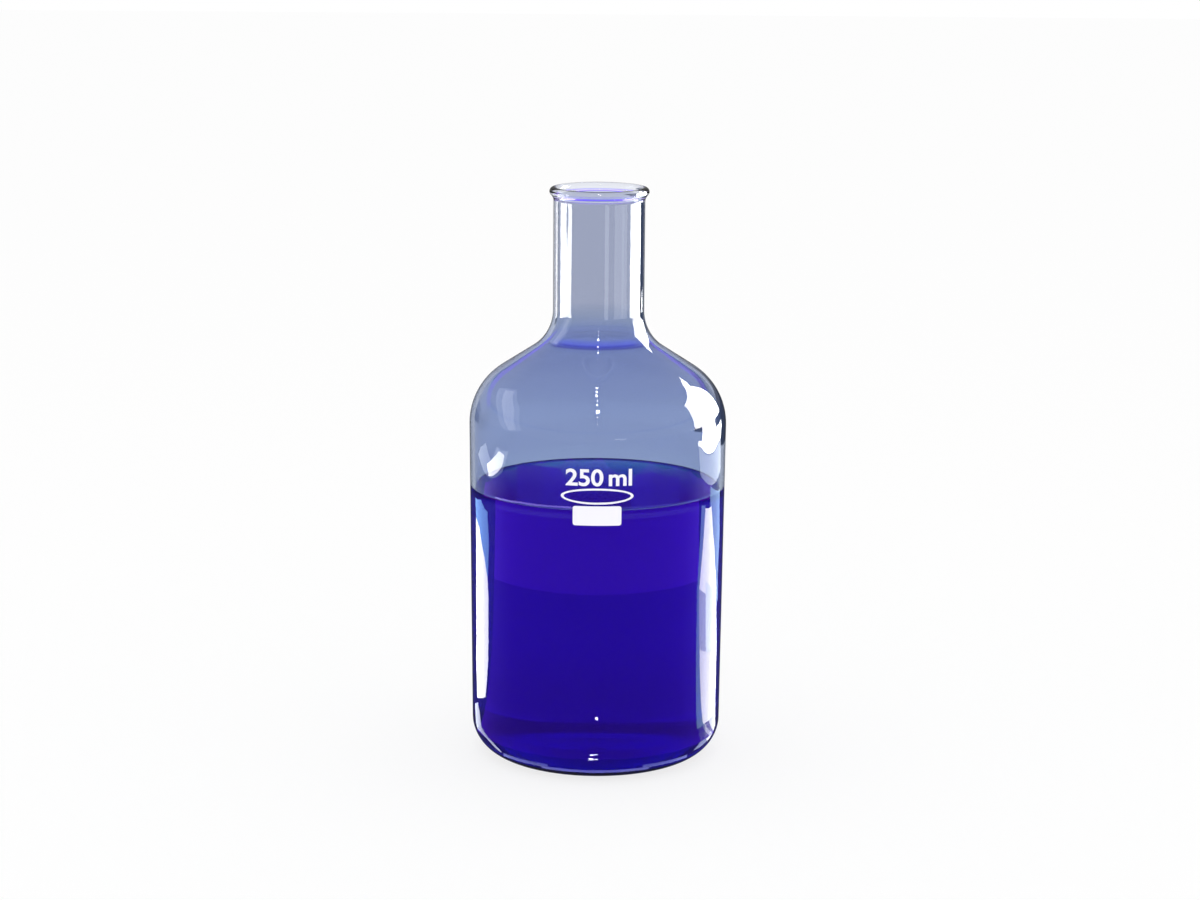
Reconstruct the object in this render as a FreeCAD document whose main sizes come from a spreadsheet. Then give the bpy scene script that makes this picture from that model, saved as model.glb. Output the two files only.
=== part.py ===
# Glass solution bottle for 250 ml: a narrow necked bottle blown in one piece, with a
# fire polished rim, standing part filled with a deep blue solution. White enamel fired
# on to its front carries a blank writing panel and an oval ring.
# Millimetres, +Z up, front towards -Y. The origin is on the axis, at the plane that the
# bottle stands on.
import FreeCAD, Part
import Sketcher
import math
import os
from FreeCAD import Rotation, Vector

DRIVING_SIZES = [
    ("bottle_height", 156.9, "from the table to the top of the rim"),
    ("body_radius", 35.0, "outside, where the side meets the shoulder"),
    ("side_taper", 0.5, "degrees that the side leans out on its way up"),
    ("heel_radius", 9.8, "outside rounding from the base into the side"),
    ("rest_width", 2.5, "width of the flat ring that touches the table"),
    ("push_up", 1.6, "rise of the underside at the axis"),
    ("shoulder_height", 92.4, "from the table to the start of the shoulder"),
    ("shoulder_radius", 18.0, "outside rounding from the side into the cone"),
    ("cone_slope", 32.8, "degrees above level of the cone under the neck"),
    ("root_radius", 12.1, "outside hollow curve from the cone into the neck"),
    ("neck_radius", 12.35, "outside of the straight neck"),
    ("rim_radius", 13.45, "outside of the rim at its widest"),
    ("lip_radius", 2.2, "hollow curve under the rim"),
    ("side_wall", 1.3, "glass in the side, shoulder and cone"),
    ("neck_wall", 1.3, "glass in the neck"),
    ("floor_thickness", 2.2, "glass in the floor"),
    ("liquid_level", 75.4, "from the table to the flat of the liquid"),
    ("meniscus_rise", 0.9, "how far the liquid climbs the glass"),
    ("meniscus_radius", 1.8, "curve of the liquid up to the glass"),
    ("enamel_thickness", 0.12, "fired enamel on the front of the side"),
    ("panel_width", 12.8, "writing panel"),
    ("panel_height", 5.2, "writing panel"),
    ("panel_corner", 0.65, "rounding of the writing panel's corners"),
    ("print_gap", 0.5, "clear glass between the panel and the oval ring above it"),
    ("oval_width", 19.1, "outside of the oval ring"),
    ("oval_height", 4.3, "outside of the oval ring"),
    ("oval_end_stroke", 0.75, "breadth of the ring's line at its two ends"),
    ("oval_top_stroke", 0.5, "breadth of the ring's line above and below"),
    ("oval_middle", 79.55, "from the table to the middle of the oval ring"),
]

NODES = ["bottle", "solution", "writing_panel", "marking_oval"]

# Which point of a line or an arc a constraint takes, as Sketcher numbers them
START, END, CENTRE = 1, 2, 3

# The sketch's own two axes and its origin, in the same numbering
LEVEL_AXIS, UPRIGHT_AXIS = -1, -2
ORIGIN_POINT = (LEVEL_AXIS, START)

FORWARD = Rotation(Vector(1, 0, 0), 90)


def make_sheet(doc):
    """The driving sizes, one row each, with the size's name as the alias of its cell."""
    sheet = doc.addObject("Spreadsheet::Sheet", "Sizes")
    for row, (name, value, note) in enumerate(DRIVING_SIZES, start=1):
        sheet.set(f"A{row}", name)
        sheet.set(f"B{row}", str(value))
        sheet.setAlias(f"B{row}", name)
        sheet.set(f"C{row}", note)
    doc.recompute()
    return sheet


def bind(sketch, label, expression, kind, *places):
    """A dimension of a sketch that follows the sheet."""
    value = float(sketch.evalExpression(expression))
    if kind == "Angle":
        value = math.radians(value)
    index = sketch.addConstraint(Sketcher.Constraint(kind, *places, value))
    sketch.renameConstraint(index, label)
    sketch.setExpression("Constraints." + label, expression)


class Section:
    """A half section in a body's XZ plane, drawn as named lines and arcs."""

    def __init__(self, body, name):
        plane = next(item for item in body.Origin.OriginFeatures if item.Role == "XZ_Plane")
        self.sketch = body.newObject("Sketcher::SketchObject", name)
        self.sketch.AttachmentSupport = [(plane, "")]
        self.sketch.MapMode = "FlatFace"
        self.number = {}

    def line(self, name, start, end):
        self.number[name] = self.sketch.addGeometry(Part.LineSegment(start, end), False)

    def arc(self, name, centre, start, end):
        """An arc that runs counter-clockwise from start to end."""
        circle = Part.Circle(centre, Vector(0, 0, 1), (start - centre).Length)
        first = math.atan2(start.y - centre.y, start.x - centre.x)
        last = math.atan2(end.y - centre.y, end.x - centre.x)
        curve = Part.ArcOfCircle(circle, first, last)
        self.number[name] = self.sketch.addGeometry(curve, False)

    def join(self, kind, first, first_point, second, second_point):
        """Coincident or Tangent ends of two of the section's curves."""
        places = (self.number[first], first_point, self.number[second], second_point)
        self.sketch.addConstraint(Sketcher.Constraint(kind, *places))

    def put_on(self, name, point, axis):
        place = (self.number[name], point, axis)
        self.sketch.addConstraint(Sketcher.Constraint("PointOnObject", *place))

    def relate(self, kind, *names):
        """Horizontal, Vertical or Parallel."""
        curves = [self.number[name] for name in names]
        self.sketch.addConstraint(Sketcher.Constraint(kind, *curves))

    def radius(self, name, expression):
        bind(self.sketch, name + "_radius", expression, "Radius", self.number[name])

    def angle(self, name, expression):
        """Direction of a line, in degrees from level."""
        bind(self.sketch, name + "_angle", expression, "Angle", self.number[name])

    def width(self, name, expression):
        """Level distance between the two ends of a line."""
        ends = (self.number[name], START, self.number[name], END)
        bind(self.sketch, name + "_width", expression, "DistanceX", *ends)

    def across(self, name, point, expression):
        """Distance of a point from the bottle's axis."""
        place = (*ORIGIN_POINT, self.number[name], point)
        bind(self.sketch, name + "_across", expression, "DistanceX", *place)

    def up(self, name, point, expression):
        """Height of a point above the table."""
        place = (*ORIGIN_POINT, self.number[name], point)
        bind(self.sketch, name + "_up", expression, "DistanceY", *place)

    def revolve(self, body, name):
        turned = body.newObject("PartDesign::Revolution", name)
        turned.Profile = self.sketch
        turned.ReferenceAxis = (self.sketch, ["V_Axis"])
        turned.Angle = 360
        self.sketch.Visibility = False


class Form:
    """Centres and directions that the glass and the liquid share, worked out once."""

    def __init__(self, sheet):
        self.sheet = sheet
        lean = math.radians(sheet.side_taper)
        slope = math.radians(sheet.cone_slope)
        self.out_of_side = Vector(math.cos(lean), -math.sin(lean), 0)
        self.out_of_cone = Vector(math.sin(slope), math.cos(slope), 0)

        self.side_top = Vector(sheet.body_radius, sheet.shoulder_height, 0)
        self.shoulder_centre = self.side_top - self.out_of_side * sheet.shoulder_radius
        side_foot_up = sheet.heel_radius * (1 - math.sin(lean))
        side_foot_across = sheet.body_radius - (sheet.shoulder_height - side_foot_up) * math.tan(lean)
        self.side_foot = Vector(side_foot_across, side_foot_up, 0)
        self.heel_centre = self.side_foot - self.out_of_side * sheet.heel_radius

        cone_foot = self.shoulder_centre + self.out_of_cone * sheet.shoulder_radius
        root_across = sheet.neck_radius + sheet.root_radius
        cone_run = cone_foot.x - (root_across - sheet.root_radius * math.sin(slope))
        cone_top_up = cone_foot.y + cone_run * math.tan(slope)
        root_up = cone_top_up + sheet.root_radius * math.cos(slope)
        self.root_centre = Vector(root_across, root_up, 0)
        wall_change = (sheet.neck_wall - sheet.side_wall) / math.cos(slope)
        self.inner_root_centre = self.root_centre + Vector(0, wall_change, 0)

        floor_extra = sheet.floor_thickness - sheet.side_wall
        self.inner_heel_radius = sheet.heel_radius - sheet.side_wall
        self.inner_heel_centre = self.heel_centre + Vector(floor_extra * math.tan(lean), floor_extra, 0)
        self.inner_side_foot = self.inner_heel_centre + self.out_of_side * self.inner_heel_radius

        drop = self.inner_heel_radius - sheet.push_up
        across = self.inner_heel_centre.x
        dome = (across ** 2 + drop ** 2 - self.inner_heel_radius ** 2) / (2 * sheet.push_up)
        self.floor_top = Vector(0, sheet.push_up + sheet.floor_thickness, 0)
        self.floor_centre = self.floor_top - Vector(0, dome, 0)
        towards_heel = (self.inner_heel_centre - self.floor_centre).normalize()
        self.floor_edge = self.floor_centre + towards_heel * dome


def add_floor_and_heel(section, form):
    """The inside of the floor and heel, which the glass and the liquid share."""
    section.arc("floor", form.floor_centre, form.floor_edge, form.floor_top)
    section.arc("inner_heel", form.inner_heel_centre, form.floor_edge, form.inner_side_foot)
    section.put_on("floor", CENTRE, UPRIGHT_AXIS)
    section.put_on("floor", END, UPRIGHT_AXIS)
    section.up("floor", END, "Sizes.push_up + Sizes.floor_thickness")
    section.join("Tangent", "floor", START, "inner_heel", START)
    section.radius("inner_heel", "Sizes.heel_radius - Sizes.side_wall")
    section.up("inner_heel", CENTRE, "Sizes.floor_thickness + Sizes.heel_radius - Sizes.side_wall")


def draw_outside(section, form):
    """Underside, heel, side, shoulder, cone, neck and the hollow under the rim."""
    sheet = form.sheet
    rest_outer = Vector(form.heel_centre.x, 0, 0)
    rest_inner = rest_outer - Vector(sheet.rest_width, 0, 0)
    underside_top = Vector(0, sheet.push_up, 0)
    underside_radius = (rest_inner.x ** 2 + sheet.push_up ** 2) / (2 * sheet.push_up)
    underside_centre = underside_top - Vector(0, underside_radius, 0)
    cone_foot = form.shoulder_centre + form.out_of_cone * sheet.shoulder_radius
    cone_top = form.root_centre - form.out_of_cone * sheet.root_radius
    neck_foot = Vector(sheet.neck_radius, form.root_centre.y, 0)

    bead_radius = (sheet.rim_radius - sheet.neck_radius + sheet.neck_wall) / 2
    bead_centre = Vector(sheet.rim_radius - bead_radius, sheet.bottle_height - bead_radius, 0)
    lip_across = sheet.neck_radius + sheet.lip_radius
    lip_drop = math.sqrt((bead_radius + sheet.lip_radius) ** 2 - (lip_across - bead_centre.x) ** 2)
    lip_centre = Vector(lip_across, bead_centre.y - lip_drop, 0)
    bead_foot = bead_centre + (lip_centre - bead_centre).normalize() * bead_radius
    neck_top = Vector(sheet.neck_radius, lip_centre.y, 0)
    bore_top = bead_centre - Vector(bead_radius, 0, 0)

    section.arc("underside", underside_centre, rest_inner, underside_top)
    section.line("rest", rest_inner, rest_outer)
    section.arc("heel", form.heel_centre, rest_outer, form.side_foot)
    section.line("side", form.side_foot, form.side_top)
    section.arc("shoulder", form.shoulder_centre, form.side_top, cone_foot)
    section.line("cone", cone_foot, cone_top)
    section.arc("root", form.root_centre, neck_foot, cone_top)
    section.line("neck", neck_foot, neck_top)
    section.arc("lip", lip_centre, bead_foot, neck_top)
    section.arc("bead", bead_centre, bead_foot, bore_top)

    section.put_on("underside", CENTRE, UPRIGHT_AXIS)
    section.put_on("underside", END, UPRIGHT_AXIS)
    section.up("underside", END, "Sizes.push_up")
    section.join("Coincident", "underside", START, "rest", START)
    section.put_on("rest", START, LEVEL_AXIS)
    section.relate("Horizontal", "rest")
    section.width("rest", "Sizes.rest_width")
    section.join("Tangent", "rest", END, "heel", START)
    section.radius("heel", "Sizes.heel_radius")
    section.join("Tangent", "heel", END, "side", START)
    section.across("side", END, "Sizes.body_radius")
    section.up("side", END, "Sizes.shoulder_height")
    section.angle("side", "90 - Sizes.side_taper")
    section.join("Tangent", "side", END, "shoulder", START)
    section.radius("shoulder", "Sizes.shoulder_radius")
    section.join("Tangent", "shoulder", END, "cone", START)
    section.angle("cone", "180 - Sizes.cone_slope")
    section.join("Tangent", "cone", END, "root", END)
    section.radius("root", "Sizes.root_radius")
    section.join("Tangent", "root", START, "neck", START)
    section.relate("Vertical", "neck")
    section.across("neck", START, "Sizes.neck_radius")
    section.join("Tangent", "neck", END, "lip", END)
    section.radius("lip", "Sizes.lip_radius")
    section.join("Tangent", "lip", START, "bead", START)
    bead = "(Sizes.rim_radius - Sizes.neck_radius + Sizes.neck_wall) / 2"
    section.radius("bead", bead)
    section.up("bead", CENTRE, "Sizes.bottle_height - " + bead)


def draw_inside(section, form):
    """Bore, inner root, inner cone, inner shoulder and inner side, down to the floor."""
    sheet = form.sheet
    bore_radius = sheet.neck_radius - sheet.neck_wall
    bead_radius = (sheet.rim_radius - bore_radius) / 2
    bore_top = Vector(bore_radius, sheet.bottle_height - bead_radius, 0)
    bore_foot = Vector(bore_radius, form.inner_root_centre.y, 0)
    inner_root_radius = sheet.root_radius + sheet.neck_wall
    inner_cone_top = form.inner_root_centre - form.out_of_cone * inner_root_radius
    inner_shoulder_radius = sheet.shoulder_radius - sheet.side_wall
    inner_cone_foot = form.shoulder_centre + form.out_of_cone * inner_shoulder_radius
    inner_side_top = form.side_top - form.out_of_side * sheet.side_wall

    section.line("bore", bore_top, bore_foot)
    section.arc("inner_root", form.inner_root_centre, bore_foot, inner_cone_top)
    section.line("inner_cone", inner_cone_top, inner_cone_foot)
    section.arc("inner_shoulder", form.shoulder_centre, inner_side_top, inner_cone_foot)
    section.line("inner_side", inner_side_top, form.inner_side_foot)

    section.join("Tangent", "bead", END, "bore", START)
    section.relate("Vertical", "bore")
    section.across("bore", START, "Sizes.neck_radius - Sizes.neck_wall")
    section.join("Tangent", "bore", END, "inner_root", START)
    section.radius("inner_root", "Sizes.root_radius + Sizes.neck_wall")
    section.join("Tangent", "inner_root", END, "inner_cone", START)
    section.relate("Parallel", "inner_cone", "cone")
    section.join("Tangent", "inner_cone", END, "inner_shoulder", END)
    section.join("Coincident", "inner_shoulder", CENTRE, "shoulder", CENTRE)
    section.radius("inner_shoulder", "Sizes.shoulder_radius - Sizes.side_wall")
    section.join("Tangent", "inner_shoulder", START, "inner_side", START)
    section.relate("Parallel", "inner_side", "side")
    section.join("Tangent", "inner_side", END, "inner_heel", END)


def make_bottle(doc, form):
    """The blown glass, turned from the section of its wall."""
    body = doc.addObject("PartDesign::Body", "Bottle")
    body.Label = "bottle"
    section = Section(body, "WallSection")
    draw_outside(section, form)
    add_floor_and_heel(section, form)
    draw_inside(section, form)
    section.line("axis", form.floor_top, Vector(0, form.sheet.push_up, 0))
    section.join("Coincident", "floor", END, "axis", START)
    section.join("Coincident", "axis", END, "underside", END)
    section.revolve(body, "BlownWall")


def make_solution(doc, form):
    """The liquid, from the floor up to its level, with the meniscus that climbs the glass."""
    sheet = form.sheet
    body = doc.addObject("PartDesign::Body", "Solution")
    body.Label = "solution"
    section = Section(body, "LiquidSection")
    add_floor_and_heel(section, form)

    lean = math.radians(sheet.side_taper)
    contact_up = sheet.liquid_level + sheet.meniscus_rise
    below_shoulder = sheet.shoulder_height - contact_up
    contact_across = sheet.body_radius - below_shoulder * math.tan(lean) - sheet.side_wall / math.cos(lean)
    contact = Vector(contact_across, contact_up, 0)
    climb = sheet.meniscus_radius - sheet.meniscus_rise
    meniscus_run = math.sqrt(sheet.meniscus_radius ** 2 - climb ** 2)
    meniscus_foot = Vector(contact_across - meniscus_run, sheet.liquid_level, 0)
    meniscus_centre = meniscus_foot + Vector(0, sheet.meniscus_radius, 0)
    level_middle = Vector(0, sheet.liquid_level, 0)

    section.line("wetted_side", form.inner_side_foot, contact)
    section.arc("meniscus", meniscus_centre, meniscus_foot, contact)
    section.line("level", meniscus_foot, level_middle)
    section.line("axis", level_middle, form.floor_top)

    section.join("Tangent", "inner_heel", END, "wetted_side", START)
    section.angle("wetted_side", "90 - Sizes.side_taper")
    contact_height = "Sizes.liquid_level + Sizes.meniscus_rise"
    under_shoulder = "(Sizes.shoulder_height - Sizes.liquid_level - Sizes.meniscus_rise)"
    glass_across = "Sizes.body_radius - " + under_shoulder + " * tan(Sizes.side_taper)"
    section.up("wetted_side", END, contact_height)
    section.across("wetted_side", END, glass_across + " - Sizes.side_wall / cos(Sizes.side_taper)")
    section.join("Coincident", "wetted_side", END, "meniscus", END)
    section.radius("meniscus", "Sizes.meniscus_radius")
    section.join("Tangent", "meniscus", START, "level", START)
    section.relate("Horizontal", "level")
    section.up("level", END, "Sizes.liquid_level")
    section.put_on("level", END, UPRIGHT_AXIS)
    section.join("Coincident", "level", END, "axis", START)
    section.join("Coincident", "axis", END, "floor", END)
    section.revolve(body, "Liquid")


def make_cone(doc, name, extra_radius):
    """The outer face of the straight side as a solid cone, grown by an expression."""
    cone = doc.addObject("Part::Cone", name)
    foot_across = "Sizes.body_radius - (Sizes.shoulder_height - Sizes.heel_radius) * tan(Sizes.side_taper)"
    cone.setExpression("Radius1", foot_across + extra_radius)
    cone.setExpression("Radius2", "Sizes.body_radius" + extra_radius)
    cone.setExpression("Height", "Sizes.shoulder_height - Sizes.heel_radius")
    cone.setExpression("Placement.Base.z", "Sizes.heel_radius")
    return cone


def make_enamel_coat(doc):
    """A coat of enamel all round the straight side, from which the printed shapes are taken."""
    coat = doc.addObject("Part::Cut", "EnamelCoat")
    coat.Base = make_cone(doc, "EnamelOutside", " + Sizes.enamel_thickness / cos(Sizes.side_taper)")
    coat.Tool = make_cone(doc, "EnamelInside", "")
    return coat


def push_forward(doc, name, outline):
    """A flat outline on the XZ plane, pushed forward through the front of the glass."""
    prism = doc.addObject("Part::Extrusion", name)
    prism.Base = outline
    prism.DirMode = "Custom"
    prism.Dir = Vector(0, -1, 0)
    prism.setExpression("LengthFwd", "2 * Sizes.body_radius")
    prism.Solid = True
    return prism


def take_from_coat(doc, label, coat, prism):
    printed = doc.addObject("Part::Common", label.title().replace("_", ""))
    printed.Base = coat
    printed.Tool = prism
    printed.Label = label


def make_panel_outline(doc, sheet):
    """A rectangle with rounded corners, centred on the axis, just under the oval ring."""
    sketch = doc.addObject("Sketcher::SketchObject", "PanelOutline")
    sketch.Placement.Rotation = FORWARD
    half_width = sheet.panel_width / 2
    half_height = sheet.panel_height / 2
    corner = sheet.panel_corner
    oval_foot = sheet.oval_middle - sheet.oval_height / 2
    shift = Vector(0, oval_foot - sheet.print_gap - half_height, 0)
    lines = []
    arcs = []
    for quarter in range(4):
        along, across = (half_width, half_height) if quarter % 2 == 0 else (half_height, half_width)
        turn = Rotation(Vector(0, 0, 1), 90 * quarter)
        line_start = turn.multVec(Vector(-along + corner, -across, 0)) + shift
        line_end = turn.multVec(Vector(along - corner, -across, 0)) + shift
        centre = turn.multVec(Vector(along - corner, -across + corner, 0)) + shift
        lines.append(sketch.addGeometry(Part.LineSegment(line_start, line_end), False))
        circle = Part.Circle(centre, Vector(0, 0, 1), corner)
        first = math.radians(90 * quarter - 90)
        last = math.radians(90 * quarter)
        arcs.append(sketch.addGeometry(Part.ArcOfCircle(circle, first, last), False))
    for quarter in range(4):
        following = lines[(quarter + 1) % 4]
        sketch.addConstraint(Sketcher.Constraint("Tangent", lines[quarter], END, arcs[quarter], START))
        sketch.addConstraint(Sketcher.Constraint("Tangent", arcs[quarter], END, following, START))
        kind = "Horizontal" if quarter % 2 == 0 else "Vertical"
        sketch.addConstraint(Sketcher.Constraint(kind, lines[quarter]))
    for quarter in range(3):
        sketch.addConstraint(Sketcher.Constraint("Equal", arcs[quarter], arcs[quarter + 1]))
    below, right, above, left = lines
    upper_edge = "Sizes.oval_middle - Sizes.oval_height / 2 - Sizes.print_gap"
    lower_edge = upper_edge + " - Sizes.panel_height"
    bind(sketch, "corner", "Sizes.panel_corner", "Radius", arcs[0])
    bind(sketch, "right_edge", "Sizes.panel_width / 2", "DistanceX", *ORIGIN_POINT, right, START)
    bind(sketch, "left_edge", "Sizes.panel_width / 2", "DistanceX", left, START, *ORIGIN_POINT)
    bind(sketch, "lower_edge", lower_edge, "DistanceY", *ORIGIN_POINT, below, START)
    bind(sketch, "upper_edge", upper_edge, "DistanceY", *ORIGIN_POINT, above, START)
    return sketch


def make_oval_prism(doc, name, half_width, half_height):
    ellipse = doc.addObject("Part::Ellipse", name + "Outline")
    ellipse.setExpression("MajorRadius", half_width)
    ellipse.setExpression("MinorRadius", half_height)
    ellipse.Placement.Rotation = FORWARD
    ellipse.setExpression("Placement.Base.z", "Sizes.oval_middle")
    return push_forward(doc, name, ellipse)


def make_marking_oval(doc, coat):
    """The oval ring, the space between two ellipses."""
    ring = doc.addObject("Part::Cut", "OvalRing")
    ring.Base = make_oval_prism(doc, "OvalOutside", "Sizes.oval_width / 2", "Sizes.oval_height / 2")
    inner_half_width = "Sizes.oval_width / 2 - Sizes.oval_end_stroke"
    inner_half_height = "Sizes.oval_height / 2 - Sizes.oval_top_stroke"
    ring.Tool = make_oval_prism(doc, "OvalInside", inner_half_width, inner_half_height)
    take_from_coat(doc, "marking_oval", coat, ring)


def check_document(doc):
    """Every object computed without fault, and every sub-part one valid solid."""
    for item in doc.Objects:
        if "Invalid" in item.State or "Error" in item.State:
            raise RuntimeError(f"{item.Label} did not compute: {item.State}")
    for node in NODES:
        shape = doc.getObjectsByLabel(node)[0].Shape
        if shape.isNull() or not shape.isValid() or len(shape.Solids) != 1:
            raise RuntimeError(f"{node} is not one valid solid")


def write_steps(doc):
    os.makedirs("parts", exist_ok=True)
    for node in NODES:
        shape = doc.getObjectsByLabel(node)[0].Shape
        shape.exportStep(f"parts/{node}.step")
        print(f"{node}: {shape.Volume / 1000:.3f} ml")


def main():
    doc = FreeCAD.newDocument("SolutionBottle")
    sheet = make_sheet(doc)
    form = Form(sheet)
    make_bottle(doc, form)
    make_solution(doc, form)
    coat = make_enamel_coat(doc)
    panel = push_forward(doc, "PanelPrism", make_panel_outline(doc, sheet))
    take_from_coat(doc, "writing_panel", coat, panel)
    make_marking_oval(doc, coat)
    doc.recompute()
    check_document(doc)
    write_steps(doc)


main()
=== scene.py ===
# Glass solution bottle for 250 ml, dressed for rendering: blown borosilicate glass with a
# fire polished rim, a deep blue solution with a meniscus, and white enamel print.
# Metres, +Z up, front towards -Y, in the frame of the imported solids.
import math

import bpy
from mathutils import Matrix, Vector


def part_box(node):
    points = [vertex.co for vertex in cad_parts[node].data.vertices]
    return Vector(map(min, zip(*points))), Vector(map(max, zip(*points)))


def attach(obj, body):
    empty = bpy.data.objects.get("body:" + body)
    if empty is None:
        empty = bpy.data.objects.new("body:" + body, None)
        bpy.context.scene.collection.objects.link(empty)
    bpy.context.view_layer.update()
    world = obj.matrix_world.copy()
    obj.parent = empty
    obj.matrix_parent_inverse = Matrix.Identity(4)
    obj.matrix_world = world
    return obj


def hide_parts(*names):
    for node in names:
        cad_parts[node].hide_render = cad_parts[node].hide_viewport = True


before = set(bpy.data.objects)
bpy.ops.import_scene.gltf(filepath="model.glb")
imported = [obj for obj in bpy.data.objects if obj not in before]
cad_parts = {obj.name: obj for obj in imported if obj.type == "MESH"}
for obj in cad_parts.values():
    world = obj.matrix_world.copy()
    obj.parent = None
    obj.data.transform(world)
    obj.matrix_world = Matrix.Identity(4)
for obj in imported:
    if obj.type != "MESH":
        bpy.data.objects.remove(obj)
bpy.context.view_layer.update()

BODY = "root"
MM = 0.001

# The section of the glass, as the solid has it
BOTTLE_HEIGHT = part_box("bottle")[1].z
BODY_RADIUS = 35.0 * MM
SIDE_TAPER = math.radians(0.5)
HEEL_RADIUS = 9.8 * MM
REST_WIDTH = 2.5 * MM
PUSH_UP = 1.6 * MM
SHOULDER_HEIGHT = 92.4 * MM
SHOULDER_RADIUS = 18.0 * MM
CONE_SLOPE = math.radians(32.8)
ROOT_RADIUS = 12.1 * MM
NECK_RADIUS = 12.35 * MM
RIM_RADIUS = 13.45 * MM
LIP_RADIUS = 2.2 * MM
WALL = 1.3 * MM
FLOOR_THICKNESS = 2.2 * MM

# The liquid, and how far its skin reaches into the glass so that no air shows between them
LIQUID_LEVEL = 75.4 * MM
MENISCUS_RISE = 0.15 * MM
MENISCUS_RADIUS = 0.25 * MM
WETTING = 0.05 * MM

# How finely the sections are drawn and turned, and which runs and gaps count as none
ARC_STEP = math.radians(4)
RUN_STEP = 2.5 * MM
SHORTEST_RUN = 0.01 * MM
STEPS_AROUND = 192
SEAM_GAP = 0.002 * MM


def linear(hex_code):
    """An sRGB colour such as #C0FFEE as the linear colour that shaders take."""
    parts = [int(hex_code[place:place + 2], 16) / 255 for place in (1, 3, 5)]
    curve = [part / 12.92 if part <= 0.04045 else ((part + 0.055) / 1.055) ** 2.4 for part in parts]
    return (*curve, 1)


def add_node(tree, kind, inputs=None, **settings):
    """A node with its settings; an input takes a value, or another node's output."""
    node = tree.nodes.new(kind)
    for name, value in settings.items():
        setattr(node, name, value)
    for socket, value in (inputs or {}).items():
        if isinstance(value, bpy.types.NodeSocket):
            tree.links.new(value, node.inputs[socket])
        else:
            node.inputs[socket].default_value = value
    return node


# Sections

def polar(centre, radius, angle):
    """The point at a distance and an angle from a centre."""
    return Vector((centre[0] + radius * math.cos(angle), centre[1] + radius * math.sin(angle)))


def direction(start, end):
    """The angle of the way from one point to another."""
    return math.atan2(end[1] - start[1], end[0] - start[0])


def arc(centre, radius, first, last):
    """A round stretch of a section, between two angles about its centre."""
    steps = max(2, math.ceil(abs(last - first) / ARC_STEP))
    angles = [first + (last - first) * step / steps for step in range(steps + 1)]
    return [polar(centre, radius, angle) for angle in angles]


def chain(*stretches):
    """Joins stretches end to end and divides the straight runs between them."""
    points = [stretches[0][0]]
    for point in (point for stretch in stretches for point in stretch):
        start = points[-1]
        run = point - start
        pieces = max(1, math.ceil(run.length / RUN_STEP))
        points += [start + run * piece / pieces for piece in range(1, pieces + 1)]
    kept = [points[0]]
    for point in points[1:]:
        if (point - kept[-1]).length > SHORTEST_RUN:
            kept.append(point)
    return kept


# Directions in which the side and the cone face, and the centres of the round stretches
OUT_OF_SIDE = -SIDE_TAPER
OUT_OF_CONE = math.pi / 2 - CONE_SLOPE
SHOULDER_CENTRE = polar((BODY_RADIUS, SHOULDER_HEIGHT), -SHOULDER_RADIUS, OUT_OF_SIDE)
SIDE_FOOT_UP = HEEL_RADIUS * (1 - math.sin(SIDE_TAPER))
SIDE_FOOT = (BODY_RADIUS - (SHOULDER_HEIGHT - SIDE_FOOT_UP) * math.tan(SIDE_TAPER), SIDE_FOOT_UP)
HEEL_CENTRE = polar(SIDE_FOOT, -HEEL_RADIUS, OUT_OF_SIDE)
CONE_FOOT = polar(SHOULDER_CENTRE, SHOULDER_RADIUS, OUT_OF_CONE)
ROOT_ACROSS = NECK_RADIUS + ROOT_RADIUS
CONE_RUN = CONE_FOOT.x - ROOT_ACROSS + ROOT_RADIUS * math.sin(CONE_SLOPE)
ROOT_UP = CONE_FOOT.y + CONE_RUN * math.tan(CONE_SLOPE) + ROOT_RADIUS * math.cos(CONE_SLOPE)
ROOT_CENTRE = (ROOT_ACROSS, ROOT_UP)
INNER_HEEL_RADIUS = HEEL_RADIUS - WALL
FLOOR_EXTRA = FLOOR_THICKNESS - WALL
INNER_HEEL_CENTRE = HEEL_CENTRE + Vector((FLOOR_EXTRA * math.tan(SIDE_TAPER), FLOOR_EXTRA))
FLOOR_TOP = PUSH_UP + FLOOR_THICKNESS
DOME_DROP = INNER_HEEL_RADIUS - PUSH_UP
DOME_REACH = INNER_HEEL_CENTRE.x ** 2 + DOME_DROP ** 2 - INNER_HEEL_RADIUS ** 2
FLOOR_RADIUS = DOME_REACH / (2 * PUSH_UP)
FLOOR_CENTRE = (0, FLOOR_TOP - FLOOR_RADIUS)
FLOOR_EDGE = direction(FLOOR_CENTRE, INNER_HEEL_CENTRE)
HEEL_TURN = FLOOR_EDGE - math.pi


def outer_radius(height):
    """Outside of the straight side at a height."""
    return BODY_RADIUS - (SHOULDER_HEIGHT - height) * math.tan(SIDE_TAPER)


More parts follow.
